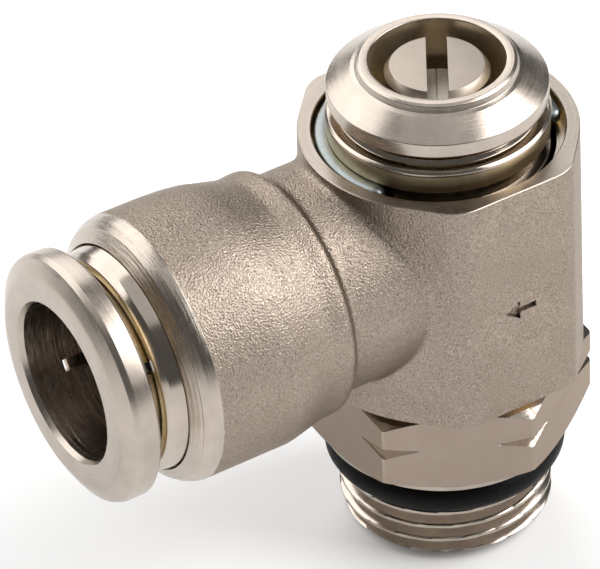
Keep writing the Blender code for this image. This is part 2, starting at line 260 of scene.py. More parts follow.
def cut(obj, cutter):
    """Takes the cutter's shape away and deletes the cutter."""
    modifier = obj.modifiers.new("cut", "BOOLEAN")
    modifier.operation = "DIFFERENCE"
    modifier.solver = "MANIFOLD"
    modifier.object = cutter
    keep_result(obj)
    bpy.data.objects.remove(cutter, do_unlink=True)


def tube_matrix():
    """Local +Z becomes +X, on the tube's axis."""
    return Matrix.Translation((0.0, 0.0, TUBE_AXIS * MM)) @ Matrix.Rotation(math.pi / 2.0, 4, "Y")


def place(obj, body, node, on_tube=False, angle=32.0):
    """Shades a finished piece, sharp past the angle, and lets it stand for its CAD node."""
    obj.data.shade_smooth()
    obj.data.set_sharp_from_angle(angle=math.radians(angle))
    if on_tube:
        obj.matrix_world = tube_matrix()
    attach(obj, body)
    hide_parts(node)


# ---------------------------------------------------------------- materials


class Nodes:
    """Short calls for building a node tree."""

    def __init__(self, tree):
        self.tree = tree

    def add(self, kind, settings=None, **inputs):
        node = self.tree.nodes.new(kind)
        for key, value in (settings or {}).items():
            setattr(node, key, value)
        self.connect(node, **inputs)
        return node

    def connect(self, node, **inputs):
        """Sets inputs, given by name (Base_Color) or by number (i0), from values or other nodes' outputs."""
        for key, value in inputs.items():
            by_number = key[1:].isdigit()
            socket = node.inputs[int(key[1:]) if by_number else key.replace("_", " ")]
            if isinstance(value, bpy.types.NodeSocket):
                self.tree.links.new(value, socket)
            else:
                socket.default_value = value

    def math(self, operation, a, b=0.0):
        return self.add("ShaderNodeMath", {"operation": operation}, i0=a, i1=b).outputs[0]

    def ramp(self, value, low, high, to_low=0.0, to_high=1.0):
        """Maps low..high to to_low..to_high."""
        node = self.add("ShaderNodeMapRange", None, i0=value, i1=low, i2=high, i3=to_low, i4=to_high)
        return node.outputs[0]

    def object_coordinates(self):
        return self.add("ShaderNodeTexCoord").outputs["Object"]

    def noise(self, vector, scale, detail, roughness=0.5):
        """Noise at a scale given per metre."""
        settings = {"Vector": vector, "Scale": scale, "Detail": detail, "Roughness": roughness}
        return self.add("ShaderNodeTexNoise", None, **settings).outputs["Fac"]

    def mix(self, factor, a, b):
        node = self.add("ShaderNodeMix", {"data_type": "RGBA"}, i0=factor, i6=a, i7=b)
        return node.outputs[2]

    def bump(self, height, distance, strength, normal=None):
        node = self.add("ShaderNodeBump", None, Height=height, Distance=distance, Strength=strength)
        if normal:
            self.tree.links.new(normal, node.inputs["Normal"])
        return node.outputs[0]


def new_material(name):
    """A new material, its node tree's short calls and its shader."""
    material = bpy.data.materials.new(name)
    material.use_nodes = True
    return material, Nodes(material.node_tree), material.node_tree.nodes["Principled BSDF"]


def rgb(red, green, blue):
    """A linear colour with full alpha."""
    return (red, green, blue, 1.0)


NICKEL = rgb(0.385, 0.312, 0.257)
NICKEL_SHADED = rgb(0.325, 0.262, 0.212)
NICKEL_IN_PITS = rgb(0.28, 0.232, 0.19)
DARK_SPECK = rgb(0.16, 0.13, 0.10)
LIGHT_SPECK = rgb(0.60, 0.545, 0.495)
DRAWN = rgb(0.345, 0.28, 0.232)
DRAWN_SHADED = rgb(0.32, 0.258, 0.21)
# ochre for crevices: partly bare brass, partly a painted reflection of warm light between plated parts
CREVICE_BRASS_AND_REFLECTION = rgb(0.62, 0.46, 0.19)
BRIGHT = rgb(0.46, 0.40, 0.345)
BRIGHT_ON_SCREW = rgb(0.38, 0.33, 0.28)
BRIGHT_ON_BODY = rgb(0.38, 0.33, 0.285)
BRIGHT_IN_BORE = rgb(0.42, 0.35, 0.29)
DULL_EDGE = rgb(0.66, 0.63, 0.60)  # what the plating still reflects at a grazing angle


def crevice_brass_and_reflection(nodes, colour, open_from):
    """Ochre tone where occlusion is high: partly brass showing through thinner plating in crevices, partly a
    painted reflection of the warm light bounced between plated parts there.
    """
    occlusion = nodes.add("ShaderNodeAmbientOcclusion", {"samples": 8}, Distance=1.6 * MM)
    return nodes.mix(nodes.ramp(occlusion.outputs["AO"], 0.1, open_from), CREVICE_BRASS_AND_REFLECTION, colour)


def forged_nickel():
    """Shot-blasted forging under nickel: fine pits and grains, with dark and light specks."""
    material, nodes, shader = new_material("forged_nickel")
    place_at = nodes.object_coordinates()
    grain = nodes.noise(place_at, 5600.0, 3.0, 0.66)
    cells = nodes.add("ShaderNodeTexVoronoi", {"feature": "SMOOTH_F1"}, Vector=place_at, Scale=7200.0)
    blotch = nodes.noise(place_at, 260.0, 3.0, 0.6)
    pits = nodes.math("MULTIPLY", cells.outputs["Distance"], 0.55)
    height = nodes.math("ADD", nodes.math("MULTIPLY", grain, 0.75), pits)
    fine = nodes.noise(place_at, 9000.0, 1.0)
    bump = nodes.bump(height, 0.1 * MM, 0.85)
    bump = nodes.bump(fine, 0.02 * MM, 0.4, bump)
    base = nodes.mix(nodes.ramp(blotch, 0.35, 0.68), NICKEL_SHADED, NICKEL)
    base = nodes.mix(nodes.ramp(grain, 0.3, 0.62), NICKEL_IN_PITS, base)
    specks = nodes.noise(place_at, 7600.0, 2.0, 0.7)
    base = nodes.mix(nodes.ramp(specks, 0.55, 0.66, 0.0, 0.8), base, DARK_SPECK)
    base = nodes.mix(nodes.ramp(specks, 0.44, 0.34, 0.0, 0.4), base, LIGHT_SPECK)
    rough = nodes.ramp(grain, 0.3, 0.7, 0.44, 0.24)
    nodes.connect(shader, Base_Color=base, Metallic=1.0, Roughness=rough, Normal=bump)
    nodes.connect(shader, Specular_Tint=DULL_EDGE)
    return material


def turning_coordinates(nodes, axis):
    """The plain object coordinates, and (radius, place along the axis, slow drift) for lathe rings."""
    place_at = nodes.object_coordinates()
    parts = nodes.add("ShaderNodeSeparateXYZ", None, i0=place_at)
    if axis == "X":
        across = nodes.math("SUBTRACT", parts.outputs["Z"], TUBE_AXIS * MM)
        first, second, along = parts.outputs["Y"], across, parts.outputs["X"]
    else:
        first, second, along = parts.outputs["X"], parts.outputs["Y"], parts.outputs["Z"]
    squares = nodes.math("ADD", nodes.math("MULTIPLY", first, first), nodes.math("MULTIPLY", second, second))
    radius = nodes.math("SQRT", squares)
    drift = nodes.math("MULTIPLY", first, 0.02)
    return place_at, nodes.add("ShaderNodeCombineXYZ", None, i0=radius, i1=along, i2=drift).outputs[0]


def turned_nickel(name, axis="Z", roughness=0.15, ring_depth=0.006 * MM, colour=BRIGHT, brass_and_reflection_below=0.0):
    """Lathe-turned brass under bright nickel, with fine tool rings and cloudy stains.

    Where the open share of the surroundings falls below the given share, an ochre tone is mixed in: partly
    brass showing through, partly a painted reflection of the warm light between parts.
    """
    material, nodes, shader = new_material(name)
    place_at, rings_at = turning_coordinates(nodes, axis)
    rings = nodes.noise(rings_at, 9000.0, 3.0, 0.7)
    wide_rings = nodes.noise(rings_at, 2200.0, 1.0)
    cloud = nodes.noise(place_at, 420.0, 4.0, 0.62)
    speck = nodes.noise(place_at, 5200.0, 2.0, 0.6)
    darker = rgb(*(0.86 * channel for channel in colour[:3]))
    base = nodes.mix(nodes.ramp(cloud, 0.36, 0.64), darker, colour)
    if brass_and_reflection_below > 0.0:
        # ochre mixed in where occluded: partly brass, partly painted reflection
        base = crevice_brass_and_reflection(nodes, base, brass_and_reflection_below)
    ring_rough = nodes.ramp(rings, 0.3, 0.7, -0.03, 0.05)
    cloud_rough = nodes.ramp(cloud, 0.3, 0.7, roughness - 0.03, roughness + 0.05)
    rough = nodes.math("ADD", ring_rough, cloud_rough)
    bump = nodes.bump(rings, ring_depth, 0.8)
    bump = nodes.bump(wide_rings, ring_depth * 1.5, 0.5, bump)
    bump = nodes.bump(speck, 0.006 * MM, 0.35, bump)
    nodes.connect(shader, Base_Color=base, Metallic=1.0, Roughness=rough, Normal=bump)
    return material


def drawn_nickel():
    """Flats of drawn hexagon bar: nearly mirror bright, with faint lines along the bar."""
    material, nodes, shader = new_material("drawn_nickel")
    place_at = nodes.object_coordinates()
    stretched = nodes.add("ShaderNodeMapping", None, Vector=place_at, Scale=(1.0, 1.0, 0.03)).outputs[0]
    lines = nodes.noise(stretched, 3800.0, 3.0, 0.65)
    cloud = nodes.noise(place_at, 300.0, 3.0, 0.55)
    base = nodes.mix(nodes.ramp(cloud, 0.35, 0.65), DRAWN_SHADED, DRAWN)
    rough = nodes.ramp(lines, 0.3, 0.7, 0.07, 0.15)
    bump = nodes.bump(lines, 0.006 * MM, 0.6)
    bump = nodes.bump(cloud, 0.02 * MM, 0.4, bump)
    nodes.connect(shader, Base_Color=base, Metallic=1.0, Roughness=rough, Normal=bump)
    nodes.connect(shader, Specular_Tint=DULL_EDGE)
    return material


def slot_floor_painted_light():
    """The matt floor of the slot in the screw's head, with painted light: its base colour is about twice
    that of the other nickel, so the shaded floor reads as lit.
    """
    material, nodes, shader = new_material("slot_floor_painted_light")
    place_at = nodes.object_coordinates()
    marks = nodes.noise(place_at, 5200.0, 3.0, 0.6)
    # painted light: the slot floor's colour is raised well above the nickel's so it looks lit
    base = nodes.mix(nodes.ramp(marks, 0.35, 0.65), rgb(0.66, 0.60, 0.53), rgb(0.80, 0.74, 0.67))
    bump = nodes.bump(marks, 0.01 * MM, 0.5)
    nodes.connect(shader, Base_Color=base, Metallic=1.0, Roughness=0.5, Normal=bump)
    return material


def thin_plated_brass(name, dark, light):
    """Turned brass that the plating bath hardly reached."""
    material, nodes, shader = new_material(name)
    place_at, rings_at = turning_coordinates(nodes, "Z")
    rings = nodes.noise(rings_at, 7000.0, 3.0, 0.7)
    cloud = nodes.noise(place_at, 500.0, 3.0, 0.6)
    base = nodes.mix(nodes.ramp(cloud, 0.35, 0.65), dark, light)
    rough = nodes.ramp(rings, 0.3, 0.7, 0.27, 0.42)
    bump = nodes.bump(rings, 0.008 * MM, 0.6)
    nodes.connect(shader, Base_Color=base, Metallic=1.0, Roughness=rough, Normal=bump)
    return material


def zinc_steel():
    """Blue passivated zinc on spring steel."""
    material, nodes, shader = new_material("zinc_steel")
    place_at = nodes.object_coordinates()
    cloud = nodes.noise(place_at, 500.0, 4.0, 0.6)
    speck = nodes.noise(place_at, 4500.0, 2.0, 0.6)
    base = nodes.mix(nodes.ramp(cloud, 0.35, 0.65), rgb(0.20, 0.218, 0.21), rgb(0.29, 0.315, 0.31))
    rough = nodes.ramp(cloud, 0.3, 0.7, 0.3, 0.42)
    bump = nodes.bump(speck, 0.02 * MM, 0.4)
    nodes.connect(shader, Base_Color=base, Metallic=1.0, Roughness=rough, Normal=bump)
    return material


def plain_steel():
    """Bare turned steel of the hidden washer."""
    material, nodes, shader = new_material("plain_steel")
    place_at, rings_at = turning_coordinates(nodes, "Z")
    rings = nodes.noise(rings_at, 7000.0, 3.0, 0.7)
    cloud = nodes.noise(place_at, 600.0, 3.0, 0.6)
    base = nodes.mix(nodes.ramp(cloud, 0.35, 0.65), rgb(0.36, 0.35, 0.34), rgb(0.5, 0.49, 0.48))
    rough = nodes.ramp(rings, 0.3, 0.7, 0.22, 0.4)
    bump = nodes.bump(rings, 0.01 * MM, 0.6)
    nodes.connect(shader, Base_Color=base, Metallic=1.0, Roughness=rough, Normal=bump)
    return material


def black_rubber():
    """Moulded nitrile rubber, lightly greased, with dust in places."""
    material, nodes, shader = new_material("black_rubber")
    place_at = nodes.object_coordinates()
    skin = nodes.noise(place_at, 2600.0, 3.0, 0.6)
    dust = nodes.noise(place_at, 700.0, 4.0, 0.7)
    base = nodes.mix(nodes.ramp(dust, 0.56, 0.75), rgb(0.0035, 0.0033, 0.003), rgb(0.012, 0.011, 0.01))
    rough = nodes.ramp(dust, 0.35, 0.7, 0.4, 0.6)
    bump = nodes.bump(skin, 0.02 * MM, 0.5)
    nodes.connect(shader, Base_Color=base, Roughness=rough, Normal=bump, Specular_IOR_Level=0.12)
    return material


def floor_material():
    """A light table: white, and faintly lit from below."""
    material, nodes, shader = new_material("studio_floor")
    place_at = nodes.object_coordinates()
    cloud = nodes.noise(place_at, 9.0, 2.0)
    base = nodes.mix(cloud, rgb(0.93, 0.93, 0.93), rgb(0.95, 0.95, 0.95))
    nodes.connect(shader, Base_Color=base, Roughness=0.8)
    nodes.connect(shader, Emission_Color=base, Emission_Strength=0.08)
    return material


# ---------------------------------------------------------------- stem


def seal_groove(centre):
    """Groove in the stem for a seal ring, as a stretch of the outline from top to bottom."""
    half = 0.9
    floor = 7.0
    return [
        (SHANK, centre + half, 0.08),
        (floor, centre + half, 0.12),
        (floor, centre - half, 0.12),
        (SHANK, centre - half, 0.08),
    ]


def stem_outline():
    """Stem without its thread, which make_stem adds between the last point and the first."""
    bore = [
        (4.3, THREAD_END, 0.1),
        (4.6, THREAD_END + 0.5, 0.05),
        (4.6, 9.0, 0.1),
        (3.6, 10.0, 0.1),
        (3.6, 15.2, 0.1),
        (2.4, 16.0, 0.05),
        (2.4, 16.6, 0.05),
        (3.3, 17.4, 0.1),
        (3.3, 22.3, 0.1),
        (6.3, 22.3, 0.1),
        (6.3, STEM_TOP, 0.1),
    ]
    flange = [
        (7.4, STEM_TOP, 0.1),
        (7.6, STEM_TOP - 0.4, 0.12),
        (8.3, STEM_TOP - 0.4, 0.07),
        (8.5, STEM_TOP - 0.6, 0.07),
        (8.5, STEM_TOP - 0.82, 0.05),
        (SHANK, STEM_TOP - 0.9, 0.05),
        (SHANK, 27.63, 0.07),
        (7.75, 27.63, 0.05),
        (7.75, RECESS_FLOOR, 0.05),
        (SHANK, RECESS_FLOOR, 0.06),
    ]
    waist = [
        (SHANK, 21.8, 0.1),
        (5.4, 21.4, 0.3),
        (5.4, 14.6, 0.1),
        (6.6, 14.6, 0.1),
        (6.6, 14.1, 0.1),
        (5.4, 14.1, 0.1),
        (5.4, 12.3, 0.1),
        (6.4, 12.3, 0.1),
        (6.4, 11.85, 0.1),
        (5.4, 11.85, 0.1),
        (5.4, 10.1, 0.05),
        (SHANK, 10.0, 0.05),
    ]
    hexagon = [
        (SHANK, HEX_TOP, 0.05),
        (10.1, HEX_TOP, 0.04),
        (HEX_CORNER, 6.68, 0.06),
        (HEX_CORNER, 4.95, 0.05),
        (10.32, 4.45, 0.08),
        (HEX_CORNER, 3.95, 0.05),
        (HEX_CORNER, 1.6, 0.06),
        (9.9, 0.62, 0.03),
        (9.62, 0.52, 0.04),
        (9.72, 0.42, 0.05),
        (9.7, 0.0, 0.06),
        (9.4, 0.0, 0.03),
        (9.4, 0.3, 0.05),
        (6.55, 0.3, 0.3),
        (6.55, THREAD_TOP + 0.15, 0.3),
    ]
    return bore + flange + seal_groove(UPPER_SEAL) + waist + seal_groove(LOWER_SEAL) + hexagon


def thread_radius(height, angle):
    """Flanks with a soft crest and root, cut off by the lead-in below and the run-out above."""
    phase = ((height - THREAD_SHIFT) / THREAD_PITCH - angle / (2.0 * math.pi)) % 1.0
    ridge = 1.0 - np.abs(2.0 * phase - 1.0)
    flank = np.clip((ridge - 0.18) / 0.64, 0.0, 1.0)
    eased = flank * flank * (3.0 - 2.0 * flank)
    form = THREAD_ROOT + (THREAD_CREST - THREAD_ROOT) * (0.5 * flank + 0.5 * eased)
    lead_in = THREAD_CREST - 1.05 * np.clip(THREAD_END + 0.75 - height, 0.0, 1.0)
    run_out = THREAD_ROOT + 4.0 * np.clip(THREAD_TOP - height, 0.0, 1.0)
    return np.minimum(form, np.minimum(lead_in, run_out))


def make_stem(bright, flats, top_material, wall):
    """The stem in one piece: turned form, helical thread, hexagon and cross holes."""
    rows = 74
    heights = np.linspace(THREAD_TOP, THREAD_END, rows)
    outline = rounded(stem_outline())
    thread_rows = range(len(outline), len(outline) + rows)
    outline += [(THREAD_ROOT, height) for height in heights]
    verts, faces = rotate_outline(outline, FINE_ROUND)
    grid = verts.reshape(FINE_ROUND, -1, 3)
    for i in range(FINE_ROUND):
        angle = 2.0 * math.pi * i / FINE_ROUND
        radius = thread_radius(heights, angle)
        grid[i, thread_rows, 0] = math.cos(angle) * radius
        grid[i, thread_rows, 1] = math.sin(angle) * radius
    stem = mesh_object("stem_turned", grid.reshape(-1, 3), faces, [bright, flats, top_material, wall])
    cut(stem, hexagon_cutter())
    for turn in (0.0, math.pi / 2.0):
        cut(stem, cross_hole("upper", 19.0, 1.1, turn))
        cut(stem, cross_hole("lower", 10.95, 0.7, turn))
    mark_stem(stem.data)
    place(stem, "stem", "threaded_stem", angle=25.0)


def hexagon_cutter():
    """A hexagonal ring that leaves the hexagon standing."""
    inner_corner = HEX_FLATS / math.sqrt(3.0)
    outer_corner = 14.0
    verts = []
    for radius in (inner_corner, outer_corner):
        for height in (-0.2, HEX_TOP + 0.15):
            for i in range(6):
                angle = HEX_TURN + math.radians(60.0 * i + 30.0)
                verts.append((radius * math.cos(angle), radius * math.sin(angle), height))
    faces = []
    for i in range(6):
        j = (i + 1) % 6
        faces.append((i, j, j + 6, i + 6))
        faces.append((i + 12, j + 12, j + 18, i + 18))
        faces.append((i, j, j + 12, i + 12))
        faces.append((i + 6, j + 6, j + 18, i + 18))
    return mesh_object("hexagon_cutter", verts, faces)


def cross_hole(name, height, radius, turn):
    """A drill right across the stem."""
    outline = [(0.0, -8.0), (radius, -8.0), (radius, 8.0), (0.0, 8.0)]
    cutter = turned("cross_hole_" + name, outline, steps=32)
    matrix = Matrix.Translation((0.0, 0.0, height * MM)) @ Matrix.Rotation(turn, 4, "Z")
    cutter.data.transform(matrix @ Matrix.Rotation(math.pi / 2.0, 4, "Y"))
    return cutter


def mark_stem(mesh):
    """Materials: 1 on the hexagon's upright faces, 2 on the stem's top, 3 on its plain wall there."""
    for face in mesh.polygons:
        radius = face.center.xy.length / MM
        height = face.center.z / MM
        if height > RECESS_FLOOR - 0.2:
            on_wall = abs(radius - SHANK) < 0.05 and height < STEM_TOP - WALL_BELOW
            face.material_index = 3 if on_wall else 2
        elif 0.0 < height < HEX_TOP and abs(face.normal.z) < 0.02 and radius > 9.9:
            face.material_index = 1


def ring(name, body, node, rubber, centre, thick, on_tube=False, steps=COARSE_ROUND):
    """A ring seal of round section, its centre given as (radius, place along the axis)."""
    sides = 20
    section = []
    for i in range(sides):
        angle = 2.0 * math.pi * i / sides
        section.append((centre[0] + thick * math.cos(angle), centre[1] + thick * math.sin(angle)))
    place(turned(name, section, [rubber], steps), body, node, on_tube, 80.0)


def make_seals(rubber):
    """The port's seal ring and the hidden ones."""
    lower = (STEM_SEAL_RADIUS, LOWER_SEAL)
    upper = (STEM_SEAL_RADIUS, UPPER_SEAL)
    ring("port_seal_ring", "stem", "port_oring", rubber, (8.14, -1.66), 1.3, steps=FINE_ROUND)
    ring("lower_seal_ring", "stem", "lower_stem_oring", rubber, lower, STEM_SEAL_THICK)
    ring("upper_seal_ring", "stem", "upper_stem_oring", rubber, upper, STEM_SEAL_THICK)
    ring("needle_seal_ring", "screw_carrier", "needle_oring", rubber, (5.45, 26.3), 0.5)
    ring("tube_seal_ring", "elbow", "tube_seal", rubber, (7.2, -21.4), 1.3, on_tube=True)


def make_check_lip(rubber):
    """One-way seal round the stem's waist, its lip pointing down and out."""
    outline = [
        (5.7, 13.8, 0.1),
        (7.2, 13.8, 0.2),
        (8.55, 12.75, 0.05),
        (8.4, 12.6, 0.05),
        (7.2, 13.2, 0.1),
        (6.3, 13.2, 0.1),
        (6.3, 12.6, 0.1),
        (5.7, 12.6, 0.1),
    ]
    place(turned("check_lip", outline, [rubber], COARSE_ROUND), "stem", "check_seal")


def squarish(value):
    """Bends a circle's sine or cosine towards a rounded square."""
    return math.copysign(abs(value) ** 0.7, value)


def make_clip(zinc):
    """Snap ring of rounded flat wire, with rounded ends."""
    inner = 8.05
    outer = 9.4
    middle_radius = (inner + outer) / 2.0
    middle_height = (CLIP_LOW + CLIP_TOP) / 2.0
    half_wide = (outer - inner) / 2.0
    half_high = (CLIP_TOP - CLIP_LOW) / 2.0
    sides = 20
    reach = half_wide / middle_radius
    quarter = np.linspace(0.0, math.pi / 2.0, 9)[1:]
    end_steps = [reach * (1.0 - math.cos(angle)) for angle in quarter]
    turns = [CLIP_START + step for step in end_steps]
    turns += list(np.linspace(CLIP_START + reach, CLIP_END - reach, 120)[1:-1])
    turns += [CLIP_END - step for step in reversed(end_steps)]
    verts = []
    for turn in turns:
        from_end = min(turn - CLIP_START, CLIP_END - turn, reach)
        swell = math.sqrt(max(0.0, 1.0 - (1.0 - from_end / reach) ** 2))
        for i in range(sides):
            angle = 2.0 * math.pi * i / sides
            radius = middle_radius + squarish(math.cos(angle)) * half_wide * swell
            height = middle_height + squarish(math.sin(angle)) * half_high * swell
            verts.append((radius * math.cos(turn), radius * math.sin(turn), height))
    faces = []
    for row in range(len(turns) - 1):
        for i in range(sides):
            j = (i + 1) % sides
            here = row * sides
            following = here + sides
            faces.append((here + i, here + j, following + j, following + i))
    last = (len(turns) - 1) * sides
    faces.append(tuple(range(sides)))
    faces.append(tuple(range(last, last + sides)))
    place(mesh_object("snap_ring", verts, faces, [zinc]), "stem", "circlip", angle=70.0)


def make_cap(bright, brass):
    """Coned cap over the stem's top, with the brass showing in its bore."""
    top = CAP_TOP
    outline = [
        (5.14, top - 5.5, 0.2),
        (5.14, top, 0.1),
        (5.78, top, 0.12),
        (6.0, top - 0.14, 0.08),
        (6.14, top - 0.6, 0.1),
        (6.5, top - 0.74, 0.15),
        (8.34, top - 1.93, 0.12),
        (8.34, top - 2.98, 0.08),
        (8.2, top - 3.2, 0.05),
        (7.4, top - 3.2, 0.15),
        (7.4, top - 3.62, 0.05),
        (6.0, top - 3.62, 0.1),
        (6.0, top - 6.02, 0.1),
        (4.35, top - 6.02, 0.1),
        (4.35, top - 5.5, 0.08),
    ]
    cap = turned("cap_turned", outline, [bright, brass])
    for face in cap.data.polygons:
        if face.center.xy.length < 5.2 * MM and face.center.z < (top - 0.1) * MM:
            face.material_index = 1
    place(cap, "stem", "cap_bush")


def make_screw(bright, painted_light_floor):
    """Adjusting screw: slotted head, seal groove and needle point."""
    top = SCREW_TOP
    outline = [
        (0.0, top),
        (3.56, top, 0.05),
        (4.0, top - 0.58, 0.1),
        (4.0, top - 5.8, 0.1),
        (5.9, top - 5.8, 0.1),
        (5.9, top - 6.2, 0.06),
        (4.6, top - 6.2, 0.15),
        (4.6, top - 7.8, 0.15),
        (5.9, top - 7.8, 0.06),
        (5.9, top - 8.2, 0.1),
        (3.0, top - 8.2, 0.1),
        (3.0, top - 13.2, 0.05),
        (2.3, top - 13.9, 0.1),
        (0.9, top - 16.4, 0.15),
        (0.0, top - 16.4),
    ]
    screw = turned("adjusting_screw_turned", outline, [bright, painted_light_floor])
    floor = top - SLOT_DEEP
    cut(screw, box("slot_cutter", (12.0, SLOT_WIDE, 5.0), (0.0, 0.0, floor + 2.5), SLOT_TURN))
    cut(screw, box("scribe_cutter", (12.0, 0.1, 1.0), (0.0, 0.05, floor + 0.4), SLOT_TURN))
    # the slot's floor takes the material with painted light
    for face in screw.data.polygons:
        if abs(face.center.z / MM - floor) < 0.02 and face.normal.z > 0.9:
            face.material_index = 1
    place(screw, "screw", "adjusting_screw")


# ---------------------------------------------------------------- body


def core_plan(grow):
    """Plan outline of the forged body: two arcs joined by tangents to two flat sides."""
    corner = math.atan2(CORE_FLAT, CORE_FLAT_HALF)
    tangent = corner - math.acos(CORE_RADIUS / math.hypot(CORE_FLAT_HALF, CORE_FLAT))
    points = []
    for centre in (0.0, math.pi):
        for step in range(25):
            angle = centre - tangent + 2.0 * tangent * step / 24
            points.append((CORE_RADIUS * math.cos(angle) * grow, CORE_RADIUS * math.sin(angle) * grow))
        side = grow if centre == 0.0 else -grow
        points.append((side * CORE_FLAT_HALF, side * CORE_FLAT, CORE_CORNER))
        points.append((-side * CORE_FLAT_HALF, side * CORE_FLAT, CORE_CORNER))
    return rounded(points, 8)


def hollow_top(mesh):
    """Draws the barrel's upper side in a little behind its shoulder, where the dies part."""
    for vertex in mesh.vertices:
        radius = vertex.co.xy.length
        along = (vertex.co.z / MM - HOLLOW_PLACE) / HOLLOW_REACH
        if radius > 0.0:
            depth = HOLLOW_DEPTH * MM * math.exp(-along * along) * max(0.0, -vertex.co.x / radius)
            vertex.co.xy *= 1.0 - depth / radius


def forging_blank():
    """Body, neck and barrel as one overlapping set of solids, longer than the machined part."""
    high = BODY_TOP + BLANK_MARGIN
    low = BODY_LOW - BLANK_MARGIN
    top_plan = core_plan(1.0 - CORE_DRAFT * BLANK_MARGIN)
    low_plan = core_plan(1.0 + CORE_DRAFT * (BODY_TOP - low))
    core = prism("forging", [(x, y, low) for x, y in low_plan], [(x, y, high) for x, y in top_plan])
    neck_outline = [(0.0, -4.0), (NECK_RADIUS, -4.0), (NECK_RADIUS, -16.0), (0.0, -16.0)]
    neck = turned("neck", neck_outline, steps=96)
    barrel_outline = [
        (0.0, -13.5),
        (9.0, -13.5, 0.3),
        (9.85, -14.0, 0.35),
        (9.95, -15.8, 1.5),
        (BARREL_RADIUS, -18.7, 3.0),
        (BARREL_RADIUS, -19.6),
        (BARREL_RADIUS, -20.5),
        (BARREL_RADIUS, -21.5),
        (BARREL_RADIUS, -23.5),
        (BARREL_RADIUS + 0.02, MOUTH - 2.0),
        (0.0, MOUTH - 2.0),
    ]
    barrel = turned("barrel", barrel_outline, steps=160)
    hollow_top(barrel.data)
    bm = bmesh.new()
    bm.from_mesh(core.data)
    for part in (neck, barrel):
        part.data.transform(tube_matrix())
        bm.from_mesh(part.data)
        bpy.data.objects.remove(part, do_unlink=True)
    bm.to_mesh(core.data)
    bm.free()
    return core


def stem_side_cutter():
    """Faces the body's top and underside and bores it for the stem."""
    outline = [
        (0.0, BODY_TOP + 3.0),
        (FACING_RADIUS, BODY_TOP + 3.0),
        (FACING_RADIUS, BODY_TOP),
        (RECESS_RADIUS + 0.08, BODY_TOP),
        (RECESS_RADIUS, BODY_TOP - 0.08),
        (RECESS_RADIUS, RECESS_FLOOR),
        (8.85, RECESS_FLOOR),
        (8.85, BODY_LOW + 0.1),
        (8.95, BODY_LOW),
        (FACING_RADIUS, BODY_LOW),
        (FACING_RADIUS, BODY_LOW - 3.0),
        (0.0, BODY_LOW - 3.0),
    ]
    return turned("stem_side_cutter", outline, steps=FINE_ROUND)


def rim_cutter():
    """Breaks the body's top outer edge with a narrow chamfer that follows the forged outline."""
    inner = core_plan(1.004)
    inset = core_plan(0.957)
    outer = core_plan(1.13)
    low = BODY_TOP - RIM_CHAMFER_DEPTH
    high = BODY_TOP + 0.36
    loops = [(inner, low), (inset, high), (outer, high), (outer, low)]
    verts = [(x, y, height) for loop, height in loops for x, y in loop]
    count = len(inner)
    faces = []
    for loop in range(4):
        here = loop * count
        following = (loop + 1) % 4 * count
        for i in range(count):
            j = (i + 1) % count
            faces.append((here + i, here + j, following + j, following + i))
    return mesh_object("rim_cutter", verts, faces)


def tube_side_cutter():
    """Turns the barrel's lip and bores it for the cartridge, the tube and the passage."""
    outline = [
        (0.0, MOUTH - 4.0),
        (14.0, MOUTH - 4.0),
        (14.0, MOUTH + LIP_LENGTH),
        (10.64, MOUTH + LIP_LENGTH),
        (10.48, MOUTH + 1.6, 0.9),
        (10.34, MOUTH + 1.25, 0.6),
        (9.93, MOUTH + 0.68, 0.06),
        (9.86, MOUTH + 0.66, 0.04),
        (8.98, MOUTH, 0.04),
        (POCKET_RADIUS, MOUTH + 0.1, 0.03),
        (POCKET_RADIUS, POCKET_END, 0.2),
        (TUBE_BORE_RADIUS, POCKET_END, 0.1),
        (TUBE_BORE_RADIUS, TUBE_STOP, 0.3),
        (3.6, TUBE_STOP, 0.2),
        (3.6, -2.0),
        (0.0, -2.0),
    ]
    cutter = turned("tube_side_cutter", outline, steps=FINE_ROUND)
    cutter.data.transform(tube_matrix())
    return cutter


def arrow_cutter():
    """A plain arrow pressed into the front flat: the direction of the controlled flow."""
    upper_half = [(0.1, 0.95), (0.1, 0.28), (-1.5, 0.28)]
    lower_half = [(along, -across) for along, across in reversed(upper_half)]
    shape = lower_half + [(1.5, 0.0)] + upper_half
    middle_x = 0.2
    middle_z = 16.9
    loops = []
    for depth, size in ((-12.0, 1.25), (-10.22, 0.82)):
        loops.append([(middle_x - along * size, depth, middle_z + across * size) for along, across in shape])
    return prism("arrow_cutter", *loops)


def soften(obj):
    """Turns the joined solids into one skin with soft fillets and a slightly uneven surface."""
    remesh = obj.modifiers.new("skin", "REMESH")
    remesh.mode = "VOXEL"
    remesh.voxel_size = VOXEL * MM
    smooth = obj.modifiers.new("fillets", "SMOOTH")
    smooth.factor = 0.6
    smooth.iterations = 14
    uneven = bpy.data.textures.new("uneven", "CLOUDS")
    uneven.noise_scale = 2.2 * MM
    uneven.noise_depth = 2
    displace = obj.modifiers.new("uneven", "DISPLACE")
    displace.texture = uneven
    displace.texture_coords = "LOCAL"
    displace.strength = 0.03 * MM
    keep_result(obj)


